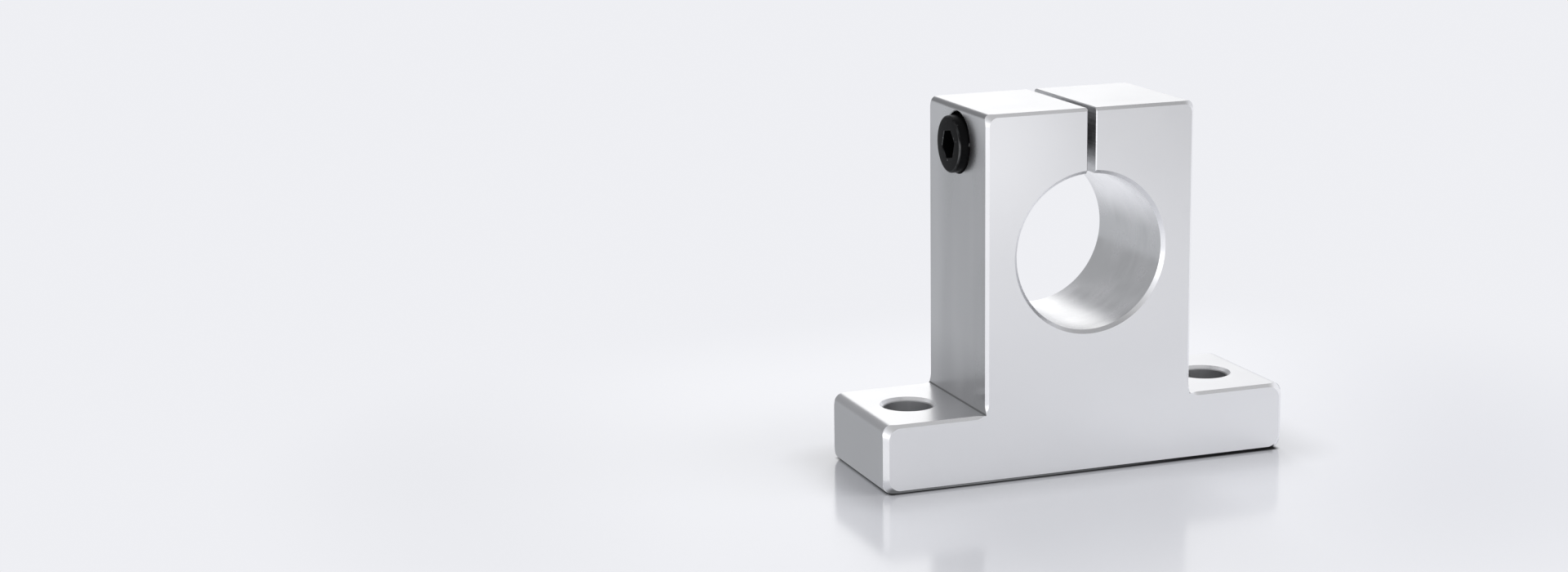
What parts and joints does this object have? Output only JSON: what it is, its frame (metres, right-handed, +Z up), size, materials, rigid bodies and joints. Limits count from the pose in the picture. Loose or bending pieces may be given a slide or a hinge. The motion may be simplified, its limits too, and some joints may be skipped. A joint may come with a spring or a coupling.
{
  "type": "shaft support block",
  "caption": "Split aluminium shaft support block on a two-hole base, with a cap screw across the slit that clamps the shaft bore.",
  "frame": {"origin": "middle of the mounting face under the base", "axes": "+X along the base from the screw head's side to the tapped side, +Y along the shaft bore away from the viewer, +Z up from the mounting face"},
  "size_m": [0.098, 0.032, 0.082],
  "materials": {
    "anodised_aluminium": "clear satin anodised",
    "black_oxide_steel": "black oxide, lightly oiled"
  },
  "bodies": {
    "block": {"block": "anodised_aluminium"},
    "clamp_screw": {"clamp_screw": "black_oxide_steel"}
  },
  "joints": [
    {"name": "clamp_screw_turn", "type": "hinge", "parent": "block", "child": "clamp_screw", "pos_m": [-0.0192, 0, 0.0735], "axis": [-1, 0, 0], "range_deg": [0, 270]}
  ]
}
